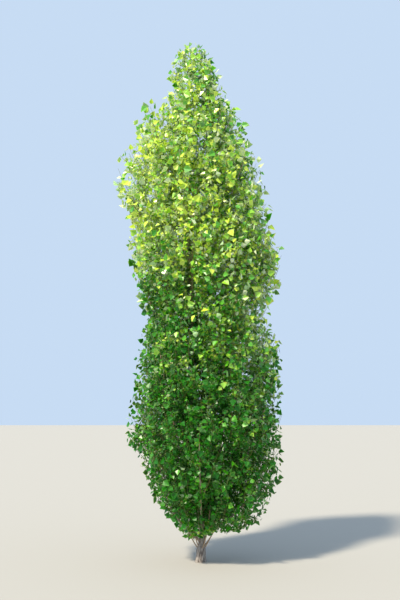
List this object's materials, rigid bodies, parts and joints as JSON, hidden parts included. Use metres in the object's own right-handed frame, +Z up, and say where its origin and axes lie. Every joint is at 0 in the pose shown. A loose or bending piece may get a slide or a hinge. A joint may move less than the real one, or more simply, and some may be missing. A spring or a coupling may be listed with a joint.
{
  "type": "poplar tree",
  "caption": "Young feathered poplar, narrow and leafy to its foot, with one straight leader, steep boughs and masses of small rhombic leaves; rooted, with a flat cut at ground level.",
  "frame": {"origin": "middle of the flat cut under the trunk, at ground level", "axes": "+Z up along the tree, -Y to the front that the picture shows, +X to its right"},
  "size_m": [1.8915, 1.6783, 5.8675],
  "materials": {
    "bark": "matt grey-brown bark, lighter and smoother upwards",
    "foliage_low": "deep green leaves with a soft gloss",
    "foliage_middle": "mid green leaves with a soft gloss",
    "foliage_high": "bright yellow-green young leaves with a soft gloss"
  },
  "bodies": {
    "root": {"bough_01": "bark", "bough_02": "bark", "bough_03": "bark", "bough_04": "bark", "bough_05": "bark", "bough_06": "bark", "bough_07": "bark", "bough_08": "bark", "bough_09": "bark", "bough_10": "bark", "bough_11": "bark", "bough_12": "bark", "bough_13": "bark", "bough_14": "bark", "bough_15": "bark", "bough_16": "bark", "bough_17": "bark", "bough_18": "bark", "bough_19": "bark", "bough_20": "bark", "bough_21": "bark", "bough_22": "bark", "bough_23": "bark", "bough_24": "bark", "bough_25": "bark", "foliage_high_22": "foliage_high", "foliage_high_23": "foliage_high", "foliage_high_24": "foliage_high", "foliage_high_25": "foliage_high", "foliage_leader": "foliage_high", "foliage_low_01": "foliage_low", "foliage_low_02": "foliage_low", "foliage_low_03": "foliage_low", "foliage_low_04": "foliage_low", "foliage_low_05": "foliage_low", "foliage_low_06": "foliage_low", "foliage_low_07": "foliage_low", "foliage_low_08": "foliage_low", "foliage_low_09": "foliage_low", "foliage_low_10": "foliage_low", "foliage_low_11": "foliage_low", "foliage_middle_12": "foliage_middle", "foliage_middle_13": "foliage_middle", "foliage_middle_14": "foliage_middle", "foliage_middle_15": "foliage_middle", "foliage_middle_16": "foliage_middle", "foliage_middle_17": "foliage_middle", "foliage_middle_18": "foliage_middle", "foliage_middle_19": "foliage_middle", "foliage_middle_20": "foliage_middle", "foliage_middle_21": "foliage_middle", "trunk": "bark"}
  },
  "joints": []
}
